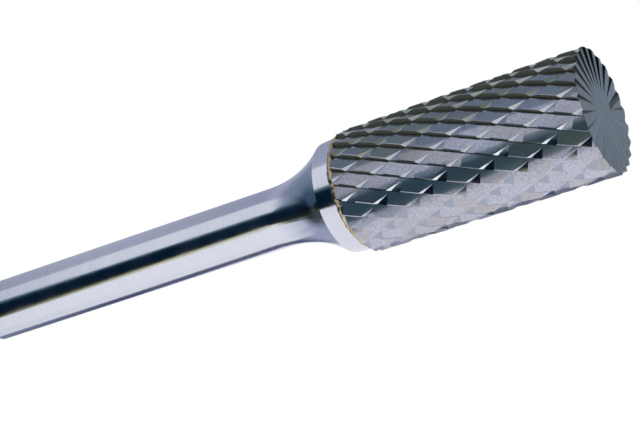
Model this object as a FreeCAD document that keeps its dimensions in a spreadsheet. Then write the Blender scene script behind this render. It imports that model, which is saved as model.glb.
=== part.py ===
import FreeCAD, Part
import os
import Sketcher
from FreeCAD import Placement, Rotation, Vector

# A carbide rotary cutter with a cylindrical, end-cut head, in millimetres. It stands on its head:
# the cutting end face lies at z = 0, the shank points up along +Z, and the axis is x = y = 0.

# The driving sizes. Angles are in degrees, counts are whole numbers.
SIZES = {
    "overall_length": 70,
    "head_diameter": 12,
    "head_length": 25,
    "shank_diameter": 6,
    "shank_chamfer": 0.5,
    # The collar narrows a little from its foot, which is brazed to the head, to its rim.
    "collar_foot_diameter": 11.3,
    "collar_rim_diameter": 10.9,
    "collar_length": 2.1,
    "neck_radius": 11,
    # The brazing metal: a film between the faces, and a bead round the collar's foot.
    "braze_thickness": 0.15,
    "braze_bead_width": 0.15,
    "braze_bead_height": 0.3,
    # The cutting teeth: a right-hand helix of saw-tooth flutes, steep on the cutting side.
    "flute_count": 24,
    "flute_angle": 23.3,
    "flute_depth": 0.38,
    "tooth_land": 0.09,
    "rake_run": 0.1,
    # The chip breakers: a left-hand helix of shallower grooves that splits every tooth into short edges.
    "breaker_count": 15,
    "breaker_angle": 24.8,
    "breaker_depth": 0.28,
    "breaker_width": 0.98,
    "breaker_steep_run": 0.32,
    # How far below the end face a chip breaker's profile starts, which sets where it crosses the teeth.
    "breaker_start": 0.23,
    # The end teeth: radial notches that shallow out towards a flat hub.
    "end_hub_diameter": 4,
    "end_tooth_depth": 0.14,
    "end_tooth_width": 1.2,
    "end_rake_run": 0.35,
    # How far the notches' outline reaches below the end face and past the rim.
    "end_notch_reach": 0.5,
    # How far each cutter's outline reaches past the blank, so that it cuts clean through the surface.
    "overcut": 0.03,
}

# Sizes worked out from the driving ones.
DERIVED = {
    "head_radius": "head_diameter / 2",
    "head_girth": "pi * head_diameter",
    "flute_lead": "head_girth / tan(flute_angle * 1deg)",
    "flute_pitch": "flute_lead / flute_count",
    "flute_steep_rise": "rake_run / tan(flute_angle * 1deg)",
    "flute_land_rise": "tooth_land / tan(flute_angle * 1deg)",
    "flute_root": "head_radius - flute_depth",
    "breaker_lead": "head_girth / tan(breaker_angle * 1deg)",
    "breaker_rise": "breaker_width / sin(breaker_angle * 1deg)",
    "breaker_steep_rise": "breaker_steep_run / sin(breaker_angle * 1deg)",
    "breaker_root": "head_radius - breaker_depth",
    "end_hub_radius": "end_hub_diameter / 2",
    "end_slope": "end_tooth_depth / (head_radius - end_hub_radius)",
    "end_flank_run": "end_tooth_width - end_rake_run",
    "end_notch_outer": "head_radius + end_notch_reach",
    "end_notch_inner": "end_hub_radius / 2",
    "shank_radius": "shank_diameter / 2",
    "foot_radius": "collar_foot_diameter / 2",
    "rim_radius": "collar_rim_diameter / 2",
    "collar_bottom": "head_length + braze_thickness",
    "collar_top": "collar_bottom + collar_length",
    "bead_head_radius": "foot_radius - (foot_radius - rim_radius) * braze_bead_height / collar_length",
    "neck_flare": "rim_radius - shank_radius",
    "neck_length": "sqrt(neck_flare * (2 * neck_radius - neck_flare))",
    "neck_top": "collar_top + neck_length",
}


def write_sizes(doc):
    """Put the driving sizes and the ones worked out from them in the sheet, each under its alias."""
    sheet = doc.addObject("Spreadsheet::Sheet", "Sizes")
    rows = [(name, str(value)) for name, value in SIZES.items()]
    rows += [(name, "=" + formula) for name, formula in DERIVED.items()]
    for number, (name, content) in enumerate(rows, start=1):
        sheet.set("A%d" % number, name)
        sheet.set("B%d" % number, content)
        sheet.setAlias("B%d" % number, name)
    doc.recompute()
    return sheet


def origin_part(body, role):
    return [feature for feature in body.Origin.OriginFeatures if feature.Role == role][0]


def new_body(doc, label):
    body = doc.addObject("PartDesign::Body", label)
    body.Label = label
    return body


def new_sketch(body, name, role, offset=None):
    """Attach a sketch to one of the body's origin planes, shifted along its normal by a formula."""
    sketch = body.newObject("Sketcher::SketchObject", name)
    sketch.AttachmentSupport = [(origin_part(body, role), "")]
    sketch.MapMode = "FlatFace"
    if offset:
        sketch.AttachmentOffset = Placement(Vector(0, 0, 0), Rotation())
        sketch.setExpression("AttachmentOffset.Base.z", offset)
    return sketch


def size(sketch, formula):
    """The present value of a formula of the sheet's sizes."""
    return float(sketch.evalExpression(formula))


def bind(sketch, name, constraint, formula):
    """Add a named dimension to a sketch and tie it to a formula of the sheet's sizes."""
    number = sketch.addConstraint(constraint)
    sketch.renameConstraint(number, name)
    sketch.setExpression("Constraints." + name, formula)


def pin_corner(sketch, line, end, name, across, up):
    """Hold one end of a line at a distance across and up from the sketch's origin."""
    for kind, suffix, formula in (("DistanceX", "_across", across), ("DistanceY", "_up", up)):
        distance = Sketcher.Constraint(kind, -1, 1, line, end, size(sketch, formula))
        bind(sketch, name + suffix, distance, formula)


def draw_outline(sketch, corners):
    """Close an outline through named corners, each given as a pair of formulas."""
    points = [Vector(size(sketch, across), size(sketch, up), 0) for _, across, up in corners]
    for number, point in enumerate(points):
        sketch.addGeometry(Part.LineSegment(point, points[(number + 1) % len(points)]))
    for number, (name, across, up) in enumerate(corners):
        following = (number + 1) % len(corners)
        sketch.addConstraint(Sketcher.Constraint("Coincident", number, 2, following, 1))
        pin_corner(sketch, number, 1, name, across, up)


def repeat_round_axis(body, feature, name, count):
    pattern = body.newObject("PartDesign::PolarPattern", name)
    pattern.Originals = [feature]
    pattern.Axis = (origin_part(body, "Z_Axis"), [""])
    pattern.Angle = 360
    pattern.setExpression("Occurrences", count)
    pattern.Refine = False
    body.Tip = pattern


def cut_helix(body, name, profile, lead, height, left_handed):
    """Sweep a profile of the xz plane up the axis on a helix and cut it from the body."""
    helix = body.newObject("PartDesign::SubtractiveHelix", name)
    helix.Profile = profile
    helix.ReferenceAxis = (origin_part(body, "Z_Axis"), [""])
    helix.Mode = "pitch-height-angle"
    helix.setExpression("Pitch", lead)
    helix.setExpression("Height", height)
    helix.LeftHanded = left_handed
    helix.Refine = False
    helix.HasBeenEdited = True
    return helix


def cut_flutes(body):
    """The saw-tooth gullets: going up, a steep rake face drops to the root and a long flank climbs back."""
    flank_rise = "(Sizes.flute_pitch - Sizes.flute_land_rise - Sizes.flute_steep_rise)"
    edge_over = "Sizes.overcut * Sizes.flute_steep_rise / Sizes.flute_depth"
    flank_over = "Sizes.overcut * " + flank_rise + " / Sizes.flute_depth"
    outer = "Sizes.head_radius + Sizes.overcut"
    sketch = new_sketch(body, "FluteProfile", "XZ_Plane")
    draw_outline(sketch, [
        ("edge", outer, "-Sizes.flute_pitch - " + edge_over),
        ("root", "Sizes.flute_root", "Sizes.flute_steep_rise - Sizes.flute_pitch"),
        ("heel", outer, flank_over + " - Sizes.flute_land_rise"),
    ])
    height = "Sizes.head_length + 2 * Sizes.flute_pitch"
    flute = cut_helix(body, "Flute", sketch, "Sizes.flute_lead", height, False)
    repeat_round_axis(body, flute, "Flutes", "Sizes.flute_count")


def cut_chip_breakers(body):
    """The grooves across the teeth: a long slope on the end face's side and a steep wall behind it."""
    slope_rise = "(Sizes.breaker_rise - Sizes.breaker_steep_rise)"
    slope_over = "Sizes.overcut * " + slope_rise + " / Sizes.breaker_depth"
    wall_over = "Sizes.overcut * Sizes.breaker_steep_rise / Sizes.breaker_depth"
    outer = "Sizes.head_radius + Sizes.overcut"
    sketch = new_sketch(body, "BreakerProfile", "XZ_Plane")
    draw_outline(sketch, [
        ("slope", outer, "-Sizes.breaker_start - Sizes.breaker_rise - " + slope_over),
        ("root", "Sizes.breaker_root", "-Sizes.breaker_start - Sizes.breaker_steep_rise"),
        ("wall", outer, wall_over + " - Sizes.breaker_start"),
    ])
    height = "Sizes.head_length + 2 * Sizes.breaker_rise"
    breaker = cut_helix(body, "ChipBreaker", sketch, "Sizes.breaker_lead", height, True)
    repeat_round_axis(body, breaker, "ChipBreakers", "Sizes.breaker_count")


def draw_end_notch(body, name, distance):
    """The section of an end notch, square to the radius, at a distance from the axis."""
    depth = "Sizes.end_slope * (" + distance + " - Sizes.end_hub_radius)"
    reach = "Sizes.end_notch_reach"
    flank_per_depth = "Sizes.end_flank_run / Sizes.end_tooth_depth"
    rake_per_depth = "Sizes.end_rake_run / Sizes.end_tooth_depth"
    sketch = new_sketch(body, name, "YZ_Plane", distance)
    draw_outline(sketch, [
        ("root", "Sizes.rake_run", depth),
        ("flank", "Sizes.rake_run - " + reach + " * " + flank_per_depth, depth + " - " + reach),
        ("rake", "Sizes.rake_run + " + reach + " * " + rake_per_depth, depth + " - " + reach),
    ])
    return sketch


def cut_end_teeth(body):
    """Radial notches in the end face, deepest at the rim, one to each flute."""
    rim = draw_end_notch(body, "EndNotchRim", "Sizes.end_notch_outer")
    hub = draw_end_notch(body, "EndNotchHub", "Sizes.end_notch_inner")
    notch = body.newObject("PartDesign::SubtractiveLoft", "EndNotch")
    notch.Profile = rim
    notch.Sections = [hub]
    notch.Ruled = True
    notch.Refine = False
    repeat_round_axis(body, notch, "EndNotches", "Sizes.flute_count")


def make_blank(body):
    """The sintered cylinder that the teeth are ground from."""
    sketch = new_sketch(body, "BlankCircle", "XY_Plane")
    radius = "Sizes.head_radius"
    sketch.addGeometry(Part.Circle(Vector(0, 0, 0), Vector(0, 0, 1), size(sketch, radius)))
    sketch.addConstraint(Sketcher.Constraint("Coincident", 0, 3, -1, 1))
    bind(sketch, "radius", Sketcher.Constraint("Radius", 0, size(sketch, radius)), radius)
    pad = body.newObject("PartDesign::Pad", "Blank")
    pad.Profile = sketch
    pad.setExpression("Length", "Sizes.head_length")


def make_carbide_head(doc):
    body = new_body(doc, "carbide_head")
    make_blank(body)
    cut_end_teeth(body)
    cut_flutes(body)
    cut_chip_breakers(body)
    return body


def turn_round_axis(body, name, sketch):
    turned = body.newObject("PartDesign::Revolution", name)
    turned.Profile = sketch
    turned.ReferenceAxis = (origin_part(body, "Z_Axis"), [""])
    turned.Angle = 360


def make_braze_joint(doc):
    """The brazing metal: a film under the collar and a bead in the corner between collar and head."""
    body = new_body(doc, "braze_joint")
    sketch = new_sketch(body, "BrazeSection", "XZ_Plane")
    draw_outline(sketch, [
        ("face", "0", "Sizes.head_length"),
        ("bead_foot", "Sizes.foot_radius + Sizes.braze_bead_width", "Sizes.head_length"),
        ("bead_head", "Sizes.bead_head_radius", "Sizes.collar_bottom + Sizes.braze_bead_height"),
        ("film_edge", "Sizes.foot_radius", "Sizes.collar_bottom"),
        ("film_face", "0", "Sizes.collar_bottom"),
    ])
    turn_round_axis(body, "Film", sketch)
    return body


def draw_neck(sketch, collar_rim, neck_head):
    """The hollow arc from the collar to the shank, which leaves the shank along its wall."""
    radius = size(sketch, "Sizes.neck_radius")
    centre = neck_head + Vector(radius, 0, 0)
    halfway = (collar_rim - centre) + (neck_head - centre)
    sketch.addGeometry(Part.Arc(collar_rim, centre + halfway * (radius / halfway.Length), neck_head))


def draw_shank_outline(sketch):
    """Half of the shank's section: the collar, the hollow neck, the shank, its chamfer and the axis."""
    corners = [
        ("face", "0", "Sizes.collar_bottom"),
        ("collar_foot", "Sizes.foot_radius", "Sizes.collar_bottom"),
        ("collar_rim", "Sizes.rim_radius", "Sizes.collar_top"),
        ("neck_head", "Sizes.shank_radius", "Sizes.neck_top"),
        ("chamfer_foot", "Sizes.shank_radius", "Sizes.overall_length - Sizes.shank_chamfer"),
        ("chamfer_head", "Sizes.shank_radius - Sizes.shank_chamfer", "Sizes.overall_length"),
        ("tip", "0", "Sizes.overall_length"),
    ]
    neck, wall = 2, 3
    points = [Vector(size(sketch, across), size(sketch, up), 0) for _, across, up in corners]
    for number, point in enumerate(points):
        following = points[(number + 1) % len(points)]
        if number == neck:
            draw_neck(sketch, point, following)
        else:
            sketch.addGeometry(Part.LineSegment(point, following))
    # The neck's arc runs anticlockwise, so its first end is the one at the shank.
    for number, (name, across, up) in enumerate(corners):
        first = 2 if number == neck else 1
        if number == wall:
            sketch.addConstraint(Sketcher.Constraint("Tangent", neck, 1, wall, 1))
        else:
            before = (number - 1) % len(corners)
            sketch.addConstraint(Sketcher.Constraint("Coincident", before, 2, number, first))
            pin_corner(sketch, number, first, name, across, up)
    sketch.addConstraint(Sketcher.Constraint("Vertical", wall))
    radius = Sketcher.Constraint("Radius", neck, size(sketch, "Sizes.neck_radius"))
    bind(sketch, "neck_radius", radius, "Sizes.neck_radius")


def make_steel_shank(doc):
    """One turned and ground piece: the collar, the hollow neck and the shank."""
    body = new_body(doc, "steel_shank")
    sketch = new_sketch(body, "ShankSection", "XZ_Plane")
    draw_shank_outline(sketch)
    turn_round_axis(body, "Turned", sketch)
    return body


def check_features(doc):
    for feature in doc.Objects:
        if "Invalid" in feature.State or "Error" in feature.State:
            raise RuntimeError("%s failed: %s" % (feature.Label, feature.State))


def check_body(body):
    """Each sub-part is one valid solid, and each of its cuts takes something away."""
    if body.Shape.isNull() or not body.Shape.isValid() or len(body.Shape.Solids) != 1:
        raise RuntimeError("%s is not one valid solid" % body.Label)
    cuts = [feature for feature in body.Group if hasattr(feature, "Shape")]
    cuts = [feature for feature in cuts if feature.isDerivedFrom("PartDesign::Feature")]
    for before, after in zip(cuts, cuts[1:]):
        if after.Shape.Volume >= before.Shape.Volume:
            raise RuntimeError("%s takes nothing away" % after.Label)


def main():
    doc = FreeCAD.newDocument("rotary_cutter")
    write_sizes(doc)
    bodies = [make_carbide_head(doc), make_braze_joint(doc), make_steel_shank(doc)]
    doc.recompute()
    check_features(doc)
    os.makedirs("parts", exist_ok=True)
    for body in bodies:
        check_body(body)
        print("%s: %.2f cubic mm" % (body.Label, body.Shape.Volume))
        body.Shape.exportStep(os.path.join("parts", body.Label + ".step"))


main()
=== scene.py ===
# %% [markdown]
# # A carbide rotary cutter
#
# The object is a rotary burr: a cylindrical head of sintered tungsten carbide, ground all over with
# sharp teeth, brazed to a round steel shank. It stands on its end face at the origin, with the
# shank pointing up along +Z. The solids come from the CAD model and keep their shapes. This script
# gives them their finishes, the things that they reflect, a light and a camera.
#
# Almost all of what the eye sees on bright ground metal is a reflection. So the materials are only
# half of the work here, and the other half is what stands round the cutter for it to reflect.

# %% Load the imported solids
import math

import bmesh
import bpy
from mathutils import Matrix, Vector, noise


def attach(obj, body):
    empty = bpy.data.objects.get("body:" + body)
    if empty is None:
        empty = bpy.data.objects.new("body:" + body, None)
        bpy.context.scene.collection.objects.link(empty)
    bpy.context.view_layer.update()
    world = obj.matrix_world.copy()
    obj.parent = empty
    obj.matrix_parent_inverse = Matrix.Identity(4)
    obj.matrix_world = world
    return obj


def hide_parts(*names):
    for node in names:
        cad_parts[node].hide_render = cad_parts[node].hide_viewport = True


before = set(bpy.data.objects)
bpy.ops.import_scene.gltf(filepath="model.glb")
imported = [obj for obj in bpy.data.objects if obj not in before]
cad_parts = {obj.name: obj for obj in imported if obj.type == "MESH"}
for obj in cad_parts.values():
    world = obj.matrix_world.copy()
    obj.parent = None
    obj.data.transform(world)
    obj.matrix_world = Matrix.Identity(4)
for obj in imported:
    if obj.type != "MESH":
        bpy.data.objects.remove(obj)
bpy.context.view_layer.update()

print("solids:", sorted(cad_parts))

# %% [markdown]
# ## Millimetres
#
# Blender counts in metres, but a toolmaker thinks in millimetres. So sizes are written in
# millimetres here and multiplied by MM where Blender needs them. A noise texture asks how often its
# pattern repeats in a metre, and the helper works that out from the width of one repeat.

# %% Millimetres
MM = 0.001


def per_metre(width):
    """How many repeats of a width in millimetres fit in a metre."""
    return 1 / (MM * width)


print("marks 0.16 mm apart:", round(per_metre(0.16)), "in a metre")

# %% [markdown]
# ## Colours
#
# Colours are written as the sRGB hex values that a picture editor shows. Blender calculates in
# linear light, so one function converts them all.

# %% Hex colours
def linear(hex_colour):
    """An sRGB colour such as "#D3D3DF" as linear red, green, blue and alpha."""
    channels = [int(hex_colour[i:i + 2], 16) / 255 for i in (1, 3, 5)]
    return [c / 12.92 if c <= 0.04045 else ((c + 0.055) / 1.055) ** 2.4 for c in channels] + [1.0]


print("the middle grey #808080 in linear light:", round(linear("#808080")[0], 3))

# %% [markdown]
# ## One helper for every node
#
# A material is a small graph. This helper adds one node, sets its properties, and fills its inputs:
# a plain value is typed into the socket, and an output of another node is wired to it. An input is
# named by its label or its number. A Map Range has its value at 0, the range that it comes from at
# 1 and 2, and the range that it goes to at 3 and 4. A Mix has numbers at 2 and 3, vectors at 4 and
# 5 and colours at 6 and 7, and gives them out at 0, 1 and 2.

# %% Add a node
def add(tree, kind, settings=None, inputs=None):
    """One node, with its properties set and its inputs typed in or wired."""
    node = tree.nodes.new(kind)
    for name, value in (settings or {}).items():
        setattr(node, name, value)
    for socket, value in (inputs or {}).items():
        if isinstance(value, bpy.types.NodeSocket):
            tree.links.new(value, node.inputs[socket])
        else:
            node.inputs[socket].default_value = value
    return node


def new_material(name):
    """An empty material, with its node tree and its output."""
    material = bpy.data.materials.new(name)
    material.use_nodes = True
    tree = material.node_tree
    tree.nodes.clear()
    return material, tree, add(tree, "ShaderNodeOutputMaterial")


def finished(material, tree, shader, output):
    """The material with its shader wired to its output."""
    tree.links.new(shader.outputs[0], output.inputs[0])
    print("material:", material.name, "with", len(tree.nodes), "nodes")
    return material


# %% [markdown]
# ## Ground steel
#
# The shank is a round bar of alloy steel, turned and then ground between wheels. That leaves it
# bright and nearly as smooth as a mirror, so the eye sees clear bands of light and dark along it,
# softened a little by very fine rings round the axis. The rings could be modelled, but they are
# thinner than a pixel, so a bump is enough. It comes from noise that changes fast along the axis
# and slowly round it. Patches where the wheel bore harder are a little duller than the rest.

# %% Ground alloy steel
STEEL_COLOUR, STEEL_SHADE = "#E6E8EE", "#D4D6DE"
STEEL_GLOSS = 0.11, 0.19  # roughness, from the brightest patches to the dullest
RING_SPACING = 0.16  # mm: really about 0.02, drawn coarser so that it shows
RING_LENGTH = 16.67  # mm, in which a ring fades into the next one
RING_DEPTH = 0.0004  # mm
PATCH_WIDTH = 2.857  # mm
USUAL_NOISE = 0.3, 0.7  # most of a noise texture's values lie between these


def ground_steel():
    """Bright metal, almost a mirror: it shows clear bands of the cards with a fine ringed sheen."""
    material, tree, output = new_material("ground_alloy_steel")
    place = add(tree, "ShaderNodeTexCoord").outputs["Object"]
    stretch = per_metre(RING_LENGTH), per_metre(RING_LENGTH), per_metre(RING_SPACING)
    stretched = add(tree, "ShaderNodeMapping", {}, {0: place, "Scale": stretch})
    rings = add(tree, "ShaderNodeTexNoise", {},
                {0: stretched.outputs[0], "Scale": 1.0, "Detail": 3.0})
    patches = add(tree, "ShaderNodeTexNoise", {},
                  {0: place, "Scale": per_metre(PATCH_WIDTH), "Detail": 2.0})
    tone = add(tree, "ShaderNodeMix", {"data_type": "RGBA"},
               {"Factor": rings.outputs[0], 6: linear(STEEL_COLOUR), 7: linear(STEEL_SHADE)})
    gloss = add(tree, "ShaderNodeMapRange", {},
                dict(enumerate((patches.outputs[0], *USUAL_NOISE, *STEEL_GLOSS))))
    bump = add(tree, "ShaderNodeBump", {},
               {"Strength": 1.0, "Distance": MM * RING_DEPTH, "Height": rings.outputs[0]})
    shader = add(tree, "ShaderNodeBsdfPrincipled", {},
                 {"Base Color": tone.outputs[2], "Metallic": 1.0, "Roughness": gloss.outputs[0],
                  "Normal": bump.outputs[0]})
    return finished(material, tree, shader, output)


steel = ground_steel()

# %% [markdown]
# ## Helical teeth made straight
#
# The head is tungsten carbide powder, pressed and sintered with cobalt and then cut with diamond
# wheels. It is a grey metal, a little darker than steel. Each tooth's flank carries fine lines
# along the tooth from the wheel, and they must follow the helix. The surface could be unwrapped and
# painted, but it is simpler to turn each place back about the axis, by the helix's angle at that
# height. In the turned frame every tooth stands straight up, and so do its lines.

# %% Straighten the helix
HEAD_DIAMETER, HEAD_LENGTH = 12.0, 25.0
FLUTE_ANGLE, FLUTE_HAND = 23.3, 1  # degrees from the axis, with 1 for a right-hand helix
BREAKER_ANGLE, BREAKER_HAND = 24.8, -1  # the chip breakers run left-handed across the teeth


def turn_per_metre(angle, hand):
    """How far a helix turns about the axis in a metre of height, in radians."""
    return hand * math.tan(math.radians(angle)) / (MM * HEAD_DIAMETER / 2)


def straighten(tree, place, angle, hand):
    """The place turned back about the axis, so that a helix of that angle and hand is straight."""
    height = add(tree, "ShaderNodeSeparateXYZ", {}, {0: place}).outputs[2]
    turn = add(tree, "ShaderNodeMath", {"operation": "MULTIPLY"},
               {0: height, 1: -turn_per_metre(angle, hand)})
    turned = add(tree, "ShaderNodeVectorRotate", {"rotation_type": "Z_AXIS"},
                 {0: place, "Angle": turn.outputs[0]})
    return turned.outputs[0]


whole_turn = math.degrees(turn_per_metre(FLUTE_ANGLE, FLUTE_HAND) * MM * HEAD_LENGTH)
print("a tooth turns", round(whole_turn), "degrees about the axis over the head's length")

# %% [markdown]
# ## Chance for each facet
#
# Teeth and chip breakers cross, and cut the side of the head into small facets. No two of them are
# ground quite alike, which gives the head its glitter. So each facet needs a chance number of its
# own. A noise would change within a facet. The number of the tooth and the number of the groove
# that a place lies on are the same all over the facet, so the chance is drawn from those two.

# %% Chance for each facet
FLUTE_COUNT, BREAKER_COUNT = 24, 15


def sector(tree, straight, count):
    """The whole number of the tooth or groove that a straightened place lies on."""
    parts = add(tree, "ShaderNodeSeparateXYZ", {}, {0: straight})
    angle = add(tree, "ShaderNodeMath", {"operation": "ARCTAN2"},
                {0: parts.outputs[1], 1: parts.outputs[0]})
    scaled = add(tree, "ShaderNodeMath", {"operation": "MULTIPLY"},
                 {0: angle.outputs[0], 1: count / (2 * math.pi)})
    return add(tree, "ShaderNodeMath", {"operation": "FLOOR"}, {0: scaled.outputs[0]}).outputs[0]


def facet_chance(tree, place, along_teeth):
    """A number and a colour of pure chance, each the same all over a facet."""
    along_grooves = straighten(tree, place, BREAKER_ANGLE, BREAKER_HAND)
    facet = add(tree, "ShaderNodeCombineXYZ", {},
                {0: sector(tree, along_teeth, FLUTE_COUNT),
                 1: sector(tree, along_grooves, BREAKER_COUNT)})
    return add(tree, "ShaderNodeTexWhiteNoise", {"noise_dimensions": "3D"}, {0: facet.outputs[0]})


print("a tooth and a groove make", FLUTE_COUNT * BREAKER_COUNT, "pairs, each with its own chance")

# %% [markdown]
# ## Faces told apart by the way they point
#
# Grinding leaves the flanks of the teeth bright. The steep rake face before each edge is left rough
# by the wheel's corner, and it lies in shade between the teeth, so it gets painted shade: a matt
# dark colour that is no metal. The bottoms of the gullets and the notches of the end teeth lie
# deep, where shade falls, and get painted shade too. The chip breakers' long slopes get a little
# painted shade, greyer than the flanks, and their steep walls a painted highlight, a little
# brighter. All this could be painted by hand, but the way a face points tells what it is: a rake
# face points round the axis and hardly outwards, a breaker's long slope a little up towards the
# shank, an end notch down but not squarely, and a gullet's bottom is nearest the axis.

# %% Measure a face
UP = 0, 0, 1


def measure_face(tree, place):
    """How squarely a face points some ways, from -1 to 1, and how far from the axis it is."""
    faced = add(tree, "ShaderNodeNewGeometry").outputs["True Normal"]
    level = add(tree, "ShaderNodeVectorMath", {"operation": "MULTIPLY"},
                {0: place, 1: (1, 1, 0)}).outputs[0]
    outward = add(tree, "ShaderNodeVectorMath", {"operation": "NORMALIZE"}, {0: level}).outputs[0]
    round_axis = add(tree, "ShaderNodeVectorMath", {"operation": "CROSS_PRODUCT"},
                     {0: UP, 1: outward}).outputs[0]
    measures = {}
    for name, way in (("outwards", outward), ("round", round_axis), ("upwards", UP)):
        measures[name] = add(tree, "ShaderNodeVectorMath", {"operation": "DOT_PRODUCT"},
                             {0: faced, 1: way}).outputs["Value"]
    measures["sideways"] = add(tree, "ShaderNodeMath", {"operation": "ABSOLUTE"},
                               {0: measures["round"]}).outputs[0]
    measures["radius"] = add(tree, "ShaderNodeVectorMath", {"operation": "LENGTH"},
                             {0: level}).outputs["Value"]
    return measures


print("a flank turned 25 degrees from outwards measures", round(math.cos(math.radians(25)), 2))

# %% [markdown]
# ## Painted shade and highlight for each kind of face
#
# Each line below gives a kind of face, its colour of painted shade or painted highlight, and the
# limits that it has to pass: what is measured, where the colour starts and where it is full. Later
# kinds are laid over earlier ones.
# The outside is all that is ground with the teeth, unlike the end face and its notches.

# %% Kinds of face
KINDS_OF_FACE = (
    # painted shade: the rake faces, dark where shade falls between the teeth
    ("painted_shade_rake_face", "#4A6866", (("sideways", 0.5, 0.7), ("outwards", 0.45, 0.35))),
    # painted shade: the breakers' long slopes, a little greyer than the flanks
    ("painted_shade_breaker_slope", "#A4ABB6", (("upwards", 0.02, 0.1), ("outwards", 0.7, 0.8))),
    # painted highlight: the breakers' steep walls, a little brighter than the flanks
    ("painted_highlight_breaker_wall", "#F2F2F4", (("sideways", 0.5, 0.55), ("outwards", 0.6, 0.65))),
    # painted shade: the gullets' bottoms, dark where shade falls deep between the teeth
    ("painted_shade_gullet_bottom", "#5A6258", (("outwards", 0.7, 0.8), ("radius", MM * 5.66, MM * 5.62))),
    # painted shade: the end teeth's notches, dark where shade falls in them
    ("painted_shade_end_notch", "#4A5046", (("outwards", 0.4, 0.3), ("upwards", -0.975, -0.955))),
)
OUTSIDE = (("outwards", 0.4, 0.5),)


def mask(tree, measures, limits):
    """1 where a face passes all the limits, 0 where it fails one, and a soft edge between."""
    share = 1.0
    for name, start, full in limits:
        passed = add(tree, "ShaderNodeMapRange", {},
                     {0: measures[name], 1: start, 2: full}).outputs[0]
        share = add(tree, "ShaderNodeMath", {"operation": "MULTIPLY"},
                    {0: share, 1: passed}).outputs[0]
    return share


print("kinds of face beside the flanks:", [kind for kind, colour, limits in KINDS_OF_FACE])

# %% [markdown]
# ## Tone of the carbide
#
# Some facets look cool and some warm, as they catch more blue or more yellow from the room. Each
# facet's chance picks its tint between the two. The sintered grain gives a faint speckle: its real
# grains are about 0.002 mm wide, and it is drawn much coarser so that it shows.

# %% Tone of the carbide
CARBIDE_COOL, CARBIDE_WARM, CARBIDE_SHADE = "#D2D2DC", "#C6C1BA", "#9C9FAE"
GRAIN_WIDTH = 0.2222  # mm
SPECKLE = 0.3, 1.0  # the grain's noise where the shade starts, and where it would be full


def carbide_tone(tree, chance, grain, shares):
    """The tint of each facet with its grain, and the painted shade or highlight of each kind of
    face over it.
    """
    tint = add(tree, "ShaderNodeMix", {"data_type": "RGBA"},
               {"Factor": chance.outputs[0], 6: linear(CARBIDE_COOL), 7: linear(CARBIDE_WARM)})
    speckle = add(tree, "ShaderNodeMapRange", {}, dict(enumerate((grain, *SPECKLE))))
    tone = add(tree, "ShaderNodeMix", {"data_type": "RGBA"},
               {"Factor": speckle.outputs[0], 6: tint.outputs[2], 7: linear(CARBIDE_SHADE)})
    # each kind's painted shade or painted highlight is laid over the tint
    for kind, colour, limits in KINDS_OF_FACE:
        tone = add(tree, "ShaderNodeMix", {"data_type": "RGBA"},
                   {"Factor": shares[kind], 6: tone.outputs[2], 7: linear(colour)})
    return tone.outputs[2]


print("the grain is drawn at", round(per_metre(GRAIN_WIDTH)), "grains in a metre")

# %% [markdown]
# ## Lines and lean of each facet
#
# A facet that leans by a degree or two reflects another part of the room, so it looks lighter or
# darker than its neighbours. The lean could be cut into the solid, but it is smaller than the
# maker's tolerance. So it is added to the direction in which the surface is shaded, after the
# wheel's lines. The end face is ground in one plane, so it gets neither lines nor lean.

# %% Lines and lean of each facet
WHEEL_LINE_SPACING = 0.12  # mm: really about 0.02, drawn coarser so that it shows
WHEEL_LINE_LENGTH = 4.0  # mm
WHEEL_LINE_DEPTH = 0.0015  # mm
FACET_LEAN = 0.055  # the slope of the widest lean, about 1.6 degrees either way


def carbide_surface(tree, along_teeth, chance, outside):
    """The direction in which the ground surface is shaded."""
    across, along = per_metre(WHEEL_LINE_SPACING), per_metre(WHEEL_LINE_LENGTH)
    stretched = add(tree, "ShaderNodeMapping", {},
                    {0: along_teeth, "Scale": (across, across, along)})
    lines = add(tree, "ShaderNodeTexNoise", {},
                {0: stretched.outputs[0], "Scale": 1.0, "Detail": 2.0})
    geometry = add(tree, "ShaderNodeNewGeometry")
    level = add(tree, "ShaderNodeMix", {"data_type": "VECTOR"},
                {"Factor": outside, 4: geometry.outputs["True Normal"],
                 5: geometry.outputs["Normal"]})
    bump = add(tree, "ShaderNodeBump", {},
               {"Strength": outside, "Distance": MM * WHEEL_LINE_DEPTH,
                "Height": lines.outputs[0], "Normal": level.outputs[1]})
    swing = add(tree, "ShaderNodeVectorMath", {"operation": "SUBTRACT"},
                {0: chance.outputs[1], 1: (0.5, 0.5, 0.5)})
    reach = add(tree, "ShaderNodeMapRange", {}, {0: outside, 3: 0, 4: FACET_LEAN})
    lean = add(tree, "ShaderNodeVectorMath", {"operation": "SCALE"},
               {0: swing.outputs[0], "Scale": reach.outputs[0]})
    leaning = add(tree, "ShaderNodeVectorMath", {"operation": "ADD"},
                  {0: bump.outputs[0], 1: lean.outputs[0]})
    return add(tree, "ShaderNodeVectorMath", {"operation": "NORMALIZE"},
               {0: leaning.outputs[0]}).outputs[0]


print("the widest lean:", round(math.degrees(math.atan(FACET_LEAN / 2)), 1), "degrees")

# %% [markdown]
# ## Ground tungsten carbide
#
# Now the parts are put together. Ground carbide is a metal with a soft gleam, and the eye sees a
# bright or dark flat on each facet. On the rake faces the painted shade is no metal: it is matt and
# dark whatever stands round it.

# %% Ground tungsten carbide
CARBIDE_GLOSS = 0.12, 0.2  # roughness, from the brightest grains to the dullest
RAKE_ROUGHNESS = 0.6


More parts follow.
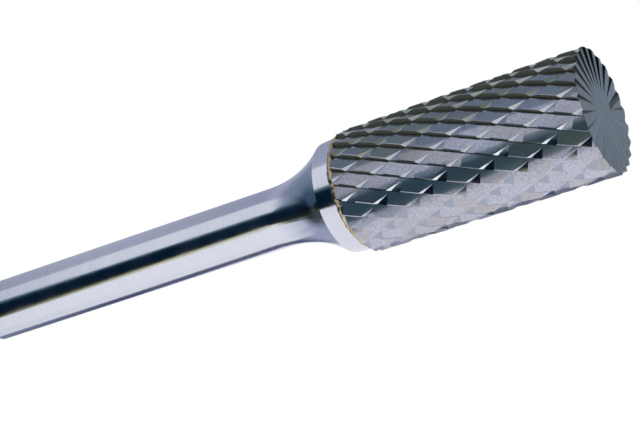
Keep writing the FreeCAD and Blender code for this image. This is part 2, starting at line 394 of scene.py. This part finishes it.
def ground_carbide():
    """Softly gleaming grey metal, a light or dark flat on each facet, and painted shade on the
    rakes.
    """
    material, tree, output = new_material("ground_tungsten_carbide")
    place = add(tree, "ShaderNodeTexCoord").outputs["Object"]
    along_teeth = straighten(tree, place, FLUTE_ANGLE, FLUTE_HAND)
    chance = facet_chance(tree, place, along_teeth)
    grain = add(tree, "ShaderNodeTexNoise", {},
                {0: place, "Scale": per_metre(GRAIN_WIDTH), "Detail": 3.0}).outputs[0]
    measures = measure_face(tree, place)
    # how much of each kind's painted shade or highlight a place gets
    shares = {kind: mask(tree, measures, limits) for kind, colour, limits in KINDS_OF_FACE}
    ground = add(tree, "ShaderNodeMapRange", {},
                 dict(enumerate((grain, *USUAL_NOISE, *CARBIDE_GLOSS))))
    # the rake faces' painted shade is matt and no metal, so it stays dark whatever stands round it
    gloss = add(tree, "ShaderNodeMix", {"data_type": "FLOAT"},
                {"Factor": shares["painted_shade_rake_face"], 2: ground.outputs[0], 3: RAKE_ROUGHNESS})
    metal_beside_rake_shade = add(tree, "ShaderNodeMath", {"operation": "SUBTRACT"}, {0: 1.0, 1: shares["painted_shade_rake_face"]})
    surface = carbide_surface(tree, along_teeth, chance, mask(tree, measures, OUTSIDE))
    shader = add(tree, "ShaderNodeBsdfPrincipled", {},
                 {"Base Color": carbide_tone(tree, chance, grain, shares),
                  "Metallic": metal_beside_rake_shade.outputs[0], "Roughness": gloss.outputs[0], "Normal": surface})
    return finished(material, tree, shader, output)


carbide = ground_carbide()

# %% [markdown]
# ## Brazing alloy
#
# The head is joined to the shank with a film of silver brazing alloy, which shows as a thin golden
# line under the collar. It froze from a melt, so it is neither ground nor flat: flow marks about a
# millimetre wide give it soft glints. A metal with some roughness and a slow noise is enough.

# %% Silver brazing alloy
BRAZE_COLOUR, BRAZE_DARK = "#FFF0C8", "#A88848"
BRAZE_ROUGHNESS = 0.3
FLOW_WIDTH = 1.111  # mm
FLOW_DEPTH = 0.015  # mm


def brazing_alloy():
    """Pale golden metal with a satin gleam, broken by its flow marks."""
    material, tree, output = new_material("silver_brazing_alloy")
    place = add(tree, "ShaderNodeTexCoord").outputs["Object"]
    flow = add(tree, "ShaderNodeTexNoise", {},
               {0: place, "Scale": per_metre(FLOW_WIDTH), "Detail": 3.0})
    tone = add(tree, "ShaderNodeMix", {"data_type": "RGBA"},
               {"Factor": flow.outputs[0], 6: linear(BRAZE_COLOUR), 7: linear(BRAZE_DARK)})
    bump = add(tree, "ShaderNodeBump", {},
               {"Strength": 1.0, "Distance": MM * FLOW_DEPTH, "Height": flow.outputs[0]})
    shader = add(tree, "ShaderNodeBsdfPrincipled", {},
                 {"Base Color": tone.outputs[2], "Metallic": 1.0, "Roughness": BRAZE_ROUGHNESS,
                  "Normal": bump.outputs[0]})
    return finished(material, tree, shader, output)


braze = brazing_alloy()

# %% [markdown]
# ## Directions round the axis
#
# The bead, the camera and the cards are all placed by a direction from the axis. An azimuth and an
# elevation say it, as on a globe.

# %% Directions
def direction(azimuth, elevation):
    """A unit vector from an azimuth about +Z, counted from +X, and an elevation, in degrees."""
    a, e = math.radians(azimuth), math.radians(elevation)
    return Vector((math.cos(e) * math.cos(a), math.cos(e) * math.sin(a), math.sin(e)))


print("azimuth 90 at elevation 0 points to", tuple(round(c, 3) for c in direction(90, 0)))

# %% [markdown]
# ## Swell of the bead
#
# The CAD's bead of brazing alloy has one section all the way round. A real bead is thicker where
# more of the melt gathered and thinner where it ran off. One side of this one is thicker than the
# other, and long and short ripples of noise are added to that.

# %% Swell of the bead
THICK_SIDE = 75  # degrees of azimuth
MEAN_SWELL, SIDE_SWELL, LEAST_SWELL = 0.9, 0.35, 0.3
LONG_RIPPLES, SHORT_RIPPLES, RIPPLE_SWELL = 4, 14, 0.3


def bead_swell(way):
    """How thick the bead is in some direction, where 1 is its plain size."""
    swell = MEAN_SWELL + SIDE_SWELL * way.dot(direction(THICK_SIDE, 0))
    ripples = [RIPPLE_SWELL * noise.noise(way * often) for often in (LONG_RIPPLES, SHORT_RIPPLES)]
    return max(LEAST_SWELL, swell + ripples[0] + ripples[1])


swells = [bead_swell(direction(azimuth, 0)) for azimuth in range(360)]
print("the bead swells from", round(min(swells), 2), "to", round(max(swells), 2))

# %% [markdown]
# ## The uneven bead
#
# The bead is a ring, drawn as 360 sections that swell and shrink. It could be a tube along a curve,
# but a section written point by point sits flush on the head and against the tapered collar. It
# stands in for the CAD's braze, film and all, so discs close it below and above.

# %% One section of the bead
COLLAR_FOOT_RADIUS = 5.65
COLLAR_TAPER = 0.2 / 2.1  # the collar narrows by 0.2 mm in its 2.1 mm
FILM_BOTTOM, FILM_TOP = 25.0, 25.15
BEAD_WIDTH, BEAD_HEIGHT = 0.17, 0.3
BEAD_PROFILE = (0.75, 0.25), (0.35, 0.75)  # shares of the width and the height, going up
BEAD_LIP = 0.01  # mm that the bead's upper edge stands out from the collar


def bead_section(swell):
    """Radius and height, in millimetres, of each point of a section, from the head upwards."""
    spread, climb = BEAD_WIDTH * swell, BEAD_HEIGHT * swell
    lip = COLLAR_FOOT_RADIUS - COLLAR_TAPER * climb + BEAD_LIP
    bulge = [(COLLAR_FOOT_RADIUS + out * spread, FILM_TOP + up * climb) for out, up in BEAD_PROFILE]
    return [(COLLAR_FOOT_RADIUS + spread, FILM_BOTTOM), *bulge,
            (lip, FILM_TOP + climb), (COLLAR_FOOT_RADIUS, FILM_TOP)]


print("a plain section in mm:", [(round(r, 3), round(z, 3)) for r, z in bead_section(1.0)])

# %% Ring of sections
BEAD_STEPS = 360


def uneven_bead():
    """The ring of sections as one closed mesh."""
    shape = bmesh.new()
    bottom = shape.verts.new((0, 0, MM * FILM_BOTTOM))
    top = shape.verts.new((0, 0, MM * FILM_TOP))
    ring = []
    for step in range(BEAD_STEPS):
        way = direction(360 * step / BEAD_STEPS, 0)
        ring.append([shape.verts.new(MM * radius * way + Vector((0, 0, MM * height)))
                     for radius, height in bead_section(bead_swell(way))])
    for before, after in zip(ring, ring[1:] + ring[:1]):
        shape.faces.new((bottom, after[0], before[0]))
        shape.faces.new((top, before[-1], after[-1]))
        for low in range(len(before) - 1):
            shape.faces.new((before[low], after[low], after[low + 1], before[low + 1]))
    mesh = bpy.data.meshes.new("braze_bead")
    shape.to_mesh(mesh)
    for face in mesh.polygons:
        face.use_smooth = True
    return mesh


bead_mesh = uneven_bead()
print("bead:", len(bead_mesh.polygons), "faces")

# %% [markdown]
# ## Dress the solids
#
# Each solid gets its finish. The bead is a new piece that takes the place of the CAD's braze and
# stays with the rest of the cutter, which is one rigid thing.

# %% Dress the solids
finishes = {"steel_shank": steel, "braze_joint": braze, "carbide_head": carbide}
for node, material in finishes.items():
    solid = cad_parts[node]
    solid.data.materials.clear()
    solid.data.materials.append(material)
    print(node, "is finished in", material.name)

# %% Put the bead in place
bead = bpy.data.objects.new("braze_bead", bead_mesh)
bpy.context.scene.collection.objects.link(bead)
bead.data.materials.append(braze)
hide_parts("braze_joint")
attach(bead, "root")
print(bead.name, "takes the place of braze_joint")

# %% [markdown]
# ## The camera
#
# The photograph looks at the cutter from beyond its end face, with the shank pointing away to the
# left. So here the camera is below the standing cutter's end face and rolled well past a right
# angle. It could be moved by hand until the picture fits, but a direction, a distance and a roll
# are easier to correct one by one. A long lens from 18 cm gives the slight narrowing of the head
# towards the shank.

# %% Camera
CAMERA_AZIMUTH, CAMERA_ELEVATION, CAMERA_ROLL = 13.88, -26.45, 108.28  # degrees
CAMERA_DISTANCE = 182.2  # mm
AIM = 0.18, -0.75, 29.99  # mm: the place on the cutter in the middle of the picture
LENS, SENSOR_WIDTH = 106.75, 36.0  # mm
NEAREST_SEEN = 5  # mm: nothing as near as this is cut away

towards_camera = direction(CAMERA_AZIMUTH, CAMERA_ELEVATION)
upright = (-towards_camera).to_track_quat("-Z", "Y").to_matrix().to_4x4()
roll = Matrix.Rotation(math.radians(-CAMERA_ROLL), 4, "Z")
camera_place = Vector(AIM) * MM + towards_camera * (CAMERA_DISTANCE * MM)

camera = bpy.data.objects.new("camera", bpy.data.cameras.new("camera"))
camera.data.lens = LENS
camera.data.sensor_width = SENSOR_WIDTH
camera.data.clip_start = NEAREST_SEEN * MM
camera.matrix_world = Matrix.Translation(camera_place) @ upright @ roll
bpy.context.scene.collection.objects.link(camera)
bpy.context.scene.camera = camera
print("the camera stands at", tuple(round(c, 3) for c in camera_place), "m")

# %% [markdown]
# ## What the metal reflects
#
# A photographer lights a bright cylinder with cards: white ones make broad highlights, and black
# ones, called flags, draw the dark bands that give it shape. A picture of a real room could be
# wrapped round the scene, but cards say plainly which band each of them makes. A round bar seen
# from azimuth 0 shows at an angle t on its side what stands at azimuth 2t, so each band's edges
# give a card's edges. The teeth and the hollow neck reflect what stands higher or lower, so every
# card is painted in an even wash of several tones from bottom to top. Its tones were found by
# comparing the bands of the render with those of the photograph.

# %% Paint a card
CARD_DISTANCE = 400  # mm
DRUM_MIDDLE = 30  # mm above the floor, about the middle of the cutter
LOWEST, HIGHEST = -90, 90  # degrees of elevation: the cards go all the way down and up
RISES = -58, -40, -4, 3, 10, 17, 26, 36, 48, 64, 74  # elevation of each tone in a wash


def washed_card(name, hex_colours):
    """Card painted in an even wash, with one colour for each elevation in RISES."""
    material, tree, output = new_material(name)
    place = add(tree, "ShaderNodeTexCoord").outputs["Object"]
    level = add(tree, "ShaderNodeVectorMath", {"operation": "SUBTRACT"},
                {0: place, 1: (0, 0, MM * DRUM_MIDDLE)})
    height = add(tree, "ShaderNodeSeparateXYZ", {}, {0: level.outputs[0]}).outputs[2]
    sine = add(tree, "ShaderNodeMath", {"operation": "DIVIDE"}, {0: height, 1: MM * CARD_DISTANCE})
    rise = add(tree, "ShaderNodeMath", {"operation": "ARCSINE"}, {0: sine.outputs[0]})
    share = add(tree, "ShaderNodeMapRange", {},
                {0: rise.outputs[0], 1: math.radians(LOWEST), 2: math.radians(HIGHEST)})
    wash = add(tree, "ShaderNodeValToRGB", {}, {0: share.outputs[0]})
    stops = wash.color_ramp.elements
    for number, (turn, hex_colour) in enumerate(zip(RISES, hex_colours)):
        at = (turn - LOWEST) / (HIGHEST - LOWEST)
        stop = stops[number] if number < 2 else stops.new(at)
        stop.position = at
        stop.color = linear(hex_colour)
    glow = add(tree, "ShaderNodeEmission", {}, {"Color": wash.outputs[0], "Strength": 1.0})
    return finished(material, tree, glow, output)


print("a wash has", len(RISES), "tones")

# %% [markdown]
# ## Shape of a card
#
# The cards stand side by side and make a closed drum round the cutter, 400 mm from it. Only
# reflections see them, never the camera itself. Azimuths are counted from the camera's side, and
# are positive towards the lower edge of the picture. Each edge of a card may slant, since the dark
# bands on the neck and on the teeth do not lie where those of the shank do: it runs straight from
# one knot to the next.

# %% Edge of a card
KNOTS = -90, 4, 16, 24, 36, 46, 90  # the elevations at which an edge has an azimuth


def straight_edge(azimuth):
    """An edge that goes straight up."""
    return (azimuth,) * len(KNOTS)


def edge_at(edge, rise):
    """The azimuth of a card's edge at some elevation."""
    for number in range(len(KNOTS) - 2, -1, -1):
        low, high = KNOTS[number], KNOTS[number + 1]
        if rise >= low or number == 0:
            share = max(0.0, (rise - low) / (high - low))
            return edge[number] + (edge[number + 1] - edge[number]) * share


print("an edge that slants from 0 to 10 degrees is at", edge_at((0, 0, 0, 0, 0, 10, 10), 41),
      "halfway")

# %% Shape of a card
STEP_ACROSS, STEP_UP = 4, 5  # degrees, small enough to look round


def card_mesh(name, edges, elevations, distance):
    """A piece of a ball-shaped shell round the cutter, between two edges."""
    left, right = edges
    lowest, highest = elevations
    widest = max(end - start for start, end in zip(left, right))
    columns, rows = max(2, round(widest / STEP_ACROSS)), max(2, round((highest - lowest) / STEP_UP))
    corners = []
    for row in range(rows + 1):
        rise = lowest + (highest - lowest) * row / rows
        start, end = edge_at(left, rise), edge_at(right, rise)
        for column in range(columns + 1):
            azimuth = CAMERA_AZIMUTH - start - (end - start) * column / columns
            spot = direction(azimuth, rise) * (MM * distance)
            corners.append(spot + Vector((0, 0, MM * DRUM_MIDDLE)))
    width = columns + 1
    faces = [(r * width + c, r * width + c + 1, (r + 1) * width + c + 1, (r + 1) * width + c)
             for r in range(rows) for c in range(columns)]
    mesh = bpy.data.meshes.new(name)
    mesh.from_pydata(corners, [], faces)
    return mesh


# %% Stand a card
def stand_card(name, edges, elevations, hex_colours, distance=CARD_DISTANCE):
    """A card in its place, seen in reflections only."""
    mesh = card_mesh(name, edges, elevations, distance)
    mesh.materials.append(washed_card(name, hex_colours))
    piece = bpy.data.objects.new(name, mesh)
    bpy.context.scene.collection.objects.link(piece)
    piece.visible_camera = False
    piece.visible_diffuse = False
    piece.visible_shadow = False
    print("card:", name, "with", len(mesh.polygons), "faces")


# %% [markdown]
# ## The drum of cards
#
# Each card runs from the edge before it to its own. White cards above and below the lens make the
# two broad highlights of the shank. Between them stand a teal flag, a navy one round the lens, and
# a narrow board of dark olive, which draws the darkest band. Grey boards and a far wall close the
# drum behind. The two lowest tones of each card are for views from above, where the metal reflects
# what lies low: they are pale in front and at the sides, as a table is, and dark behind.

# %% The drum of cards
DRUM = (
    ("far_wall", straight_edge(-169),
     "#303A38 #8593A0 #8593A0 #77889B #7C8A9C #6E7E86 #9AA0B8 #B4B8CA #8690A8 #728499 #3C5262"),
    ("dark_board_behind", straight_edge(-130),
     "#10140E #22281C #8593A0 #77889B #7C8A9C #6E7E86 #9AA0B8 #B4B8CA #8690A8 #728499 #3C5262"),
    ("grey_wall_behind", (-64, -74, -66, -78, -80, -77, -64),
     "#D8DCE2 #D0D4DC #8593A0 #8494A6 #7C8A9C #6E7E86 #9AA0B8 #B4B8CA #8690A8 #728499 #3E566E"),
    ("white_card_above", (-30, -30, -30, -32, -32, -43, -32),
     "#ECEEF2 #E4E6EC #767E78 #C7CFE2 #D0D5E8 #7C8488 #E8EAF2 #E6E9F3 #9AA4BC #5A6B80 #183248"),
    ("teal_flag_above", (-22, -22, -22, -26, -27, -27, -26),
     "#A8B0B6 #98A2AA #70776A #5E7686 #8496A8 #5A6C78 #3A647A #40687C #2C4A60 #102C40 #000C20"),
    ("navy_flag_by_the_lens", (6, 6, 6, 4, 9, 10, 12),
     "#5A6670 #4E5A64 #6A7262 #34505E #3C586C #3A4A58 #021C32 #01182C #01182C #01182A #000A20"),
    ("olive_board_below_the_lens", (17, 17, 20, 12, 17, 23, 48),
     "#9A9E96 #8A8E86 #9CA292 #3C5664 #44606E #485A64 #12160A #12160A #161E14 #101C18 #060C10"),
    ("warm_edge", (21, 24, 46, 15, 20, 26, 51),
     "#E0DED6 #D8D6CC #B4BAC0 #D0D4E0 #B0B8CC #8E98B4 #E0DAAC #D8D2A4 #A8A886 #6A6E64 #1A2216"),
    ("white_card_below", straight_edge(80),
     "#ECEEF2 #E6E8EE #B4BAC0 #F4F5FC #F0F1FC #EDEEFA #F8F9FF #F8F9FF #E2E6F0 #C6CCE0 #2C3626"),
    ("white_card_lower_down", (112, 112, 110, 100, 118, 116, 106),
     "#C8CCD4 #B8BEC8 #FFFFFF #F4F5FC #F0F1FC #EDEEFA #F4F5FB #F0F2F9 #D4D9E6 #A8B0C8 #3A4648"),
    ("grey_card_below", (150, 150, 150, 126, 158, 161, 176),
     "#808896 #7C8492 #FFFFFF #D0D4E0 #606A84 #B4BACC #646A80 #4C5474 #A8AEC6 #A2A9C4 #3C4A4C"),
    ("white_strip_below", straight_edge(180),
     "#7A8690 #8593A0 #8593A0 #8593A0 #98A0B2 #B0B6C6 #F8F9FF #F8F9FF #AEB4C8 #A2A9C4 #344038"),
)
edge_before = straight_edge(-180)
for card_name, edge, tones in DRUM:
    stand_card(card_name, (edge_before, edge), (LOWEST, HIGHEST), tones.split())
    edge_before = edge

# %% [markdown]
# ## A small card by the collar
#
# The collar is nearly white on the real cutter, while the shank beside it shows dark bands in the
# same direction. A card near enough to stand level with the collar is seen by the collar alone, so
# a small white one is held there.

# %% A small card by the collar
SMALL_CARD_DISTANCE = 27  # mm
SMALL_CARD_EDGES = straight_edge(10), straight_edge(168)
SMALL_CARD_ELEVATIONS = 12, 29  # degrees
stand_card("small_card_by_the_collar", SMALL_CARD_EDGES, SMALL_CARD_ELEVATIONS,
           ["#F4F5FB"] * len(RISES), SMALL_CARD_DISTANCE)

# %% [markdown]
# ## The floor
#
# The floor is a sheet of pale paper, so that the standing cutter has a shadow in the views from
# above. It could be cut away for the photograph's own view, which comes from below the end face.
# Instead the sheet lets a ray through that meets its underside, so it serves every view.

# %% Pale paper
PAPER_COLOUR = "#E9E9EC"


def pale_floor():
    """Matt paper seen from above, and nothing at all seen from below."""
    material, tree, output = new_material("pale_floor")
    paper = add(tree, "ShaderNodeBsdfDiffuse", {}, {"Color": linear(PAPER_COLOUR)})
    clear = add(tree, "ShaderNodeBsdfTransparent")
    under = add(tree, "ShaderNodeNewGeometry").outputs["Backfacing"]
    sheet = add(tree, "ShaderNodeMixShader", {},
                {0: under, 1: paper.outputs[0], 2: clear.outputs[0]})
    return finished(material, tree, sheet, output)


paper = pale_floor()

# %% Floor
HALF_WIDTH = 2.0  # metres
CORNERS = (-1, -1), (1, -1), (1, 1), (-1, 1)

floor_mesh = bpy.data.meshes.new("floor")
corners = [(x * HALF_WIDTH, y * HALF_WIDTH, 0) for x, y in CORNERS]
floor_mesh.from_pydata(corners, [], [(0, 1, 2, 3)])
floor_mesh.materials.append(paper)
floor = bpy.data.objects.new("floor", floor_mesh)
bpy.context.scene.collection.objects.link(floor)
floor.visible_glossy = False
floor.visible_shadow = False
print("floor:", 2 * HALF_WIDTH, "m wide")

# %% [markdown]
# ## The background
#
# The world is plain white wherever the camera, a reflection or a ray through glass looks at it. A
# brighter world would do that too, but it would also bleach the cutter. So the light that it
# casts on surfaces has a strength of its own, at which a colour looks as it is written.

# %% World
WHITE = linear("#FFFFFF")
AMBIENT = 0.85

world = bpy.data.worlds.new("white_studio")
world.use_nodes = True
sky = world.node_tree
sky.nodes.clear()
rays = add(sky, "ShaderNodeLightPath").outputs
seen = rays["Is Camera Ray"]
for ray in ("Is Glossy Ray", "Is Transmission Ray"):
    seen = add(sky, "ShaderNodeMath", {"operation": "MAXIMUM"}, {0: seen, 1: rays[ray]}).outputs[0]
casting, shown = (add(sky, "ShaderNodeBackground", {}, {"Color": WHITE, "Strength": strength})
                  for strength in (AMBIENT, 1.0))
both = add(sky, "ShaderNodeMixShader", {}, {0: seen, 1: casting.outputs[0], 2: shown.outputs[0]})
add(sky, "ShaderNodeOutputWorld", {}, {0: both.outputs[0]})
bpy.context.scene.world = world
print("world:", world.name, "casts light at strength", AMBIENT)

# %% [markdown]
# ## The lamp
#
# One square lamp, wide enough for soft shadow edges, stands to the side above the cutter. The metal
# takes its highlights from the cards, so reflections don't see the lamp.

# %% Lamp
LAMP_WIDTH = 0.25  # metres
LAMP_POWER = 2.0  # watts
LAMP_PLACE = -0.25, -0.2, 0.5  # metres

lamp_data = bpy.data.lights.new("soft_lamp", "AREA")
lamp_data.shape = "SQUARE"
lamp_data.size = LAMP_WIDTH
lamp_data.energy = LAMP_POWER
lamp = bpy.data.objects.new("soft_lamp", lamp_data)
lamp.location = Vector(LAMP_PLACE)
lamp.rotation_euler = (-lamp.location).to_track_quat("-Z", "Y").to_euler()
lamp.visible_glossy = False
bpy.context.scene.collection.objects.link(lamp)
print("lamp:", LAMP_POWER, "W,", round(lamp.location.length, 2), "m from the end face")

# %% [markdown]
# ## Finish
#
# The Standard view shows colours as they are written.

# %% Finish
bpy.context.scene.view_settings.view_transform = "Standard"
